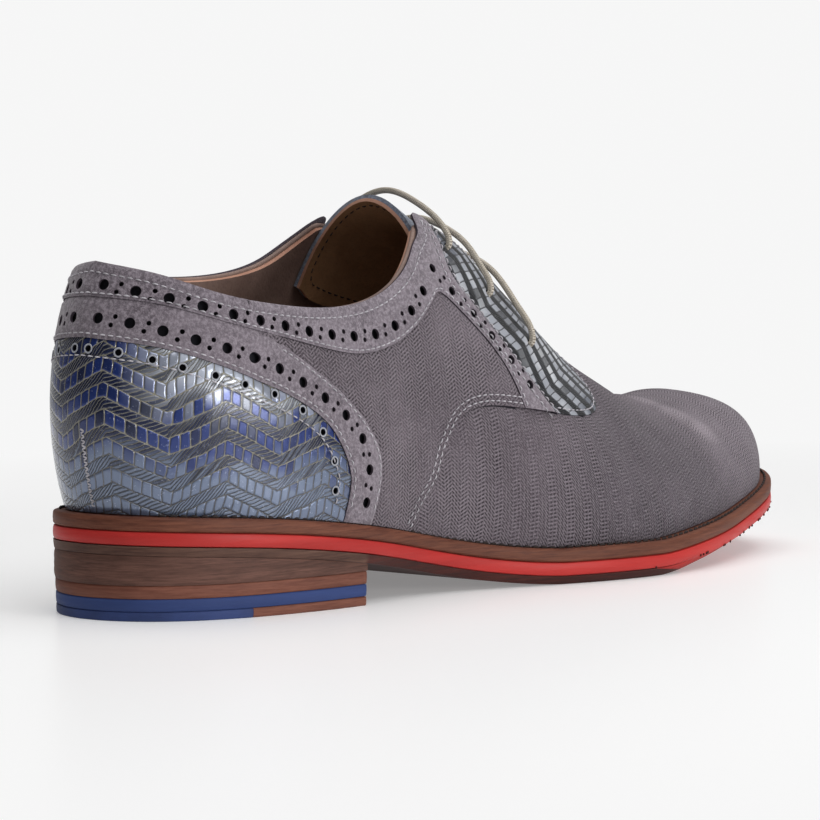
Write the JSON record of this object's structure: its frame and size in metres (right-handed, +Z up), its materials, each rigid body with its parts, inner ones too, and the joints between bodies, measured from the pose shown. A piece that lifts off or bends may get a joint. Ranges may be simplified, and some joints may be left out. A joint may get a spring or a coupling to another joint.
{
  "type": "lace-up shoe",
  "caption": "Open-laced leather shoe for the right foot, with suede bands, a printed heel counter, a welted leather sole and a stacked heel.",
  "frame": {"origin": "on the floor under the middle of the shoe's bounding box", "axes": "+X towards the toe, +Y towards the inner side of the foot, +Z up"},
  "size_m": [0.3075, 0.1114, 0.117],
  "materials": {
    "outsole_leather": "burnished dark red-brown",
    "midsole_red": "dyed red, satin edge",
    "welt_leather": "dark brown, waxed",
    "lining_leather": "brown lining, matt",
    "heel_leather": "stacked leather, satin",
    "tan_leather": "tan leather, satin",
    "blue_rubber": "matt blue rubber",
    "nubuck": "grey nubuck, printed grain",
    "suede": "grey suede",
    "woven_print": "woven print in blue, black and silver, glossy",
    "woven_print_dark": "woven print in black and grey, glossy",
    "tongue_suede": "blue-grey suede",
    "lace": "round waxed cotton lace"
  },
  "bodies": {
    "root": {"outsole": "outsole_leather", "midsole": "midsole_red", "welt": "welt_leather", "insole": "lining_leather", "heel_stack": "heel_leather", "heel_lift_tan": "tan_leather", "heel_lift_blue": "blue_rubber", "heel_rubber": "blue_rubber", "heel_leather": "tan_leather", "upper": "nubuck", "quarter_outer": "nubuck", "quarter_inner": "nubuck", "collar_band": "suede", "counter_band": "suede", "heel_counter": "woven_print", "facing_outer": "woven_print_dark", "facing_inner": "woven_print_dark", "tongue": "tongue_suede", "lace_bar_1": "lace", "lace_bar_2": "lace", "lace_bar_3": "lace"}
  },
  "joints": []
}
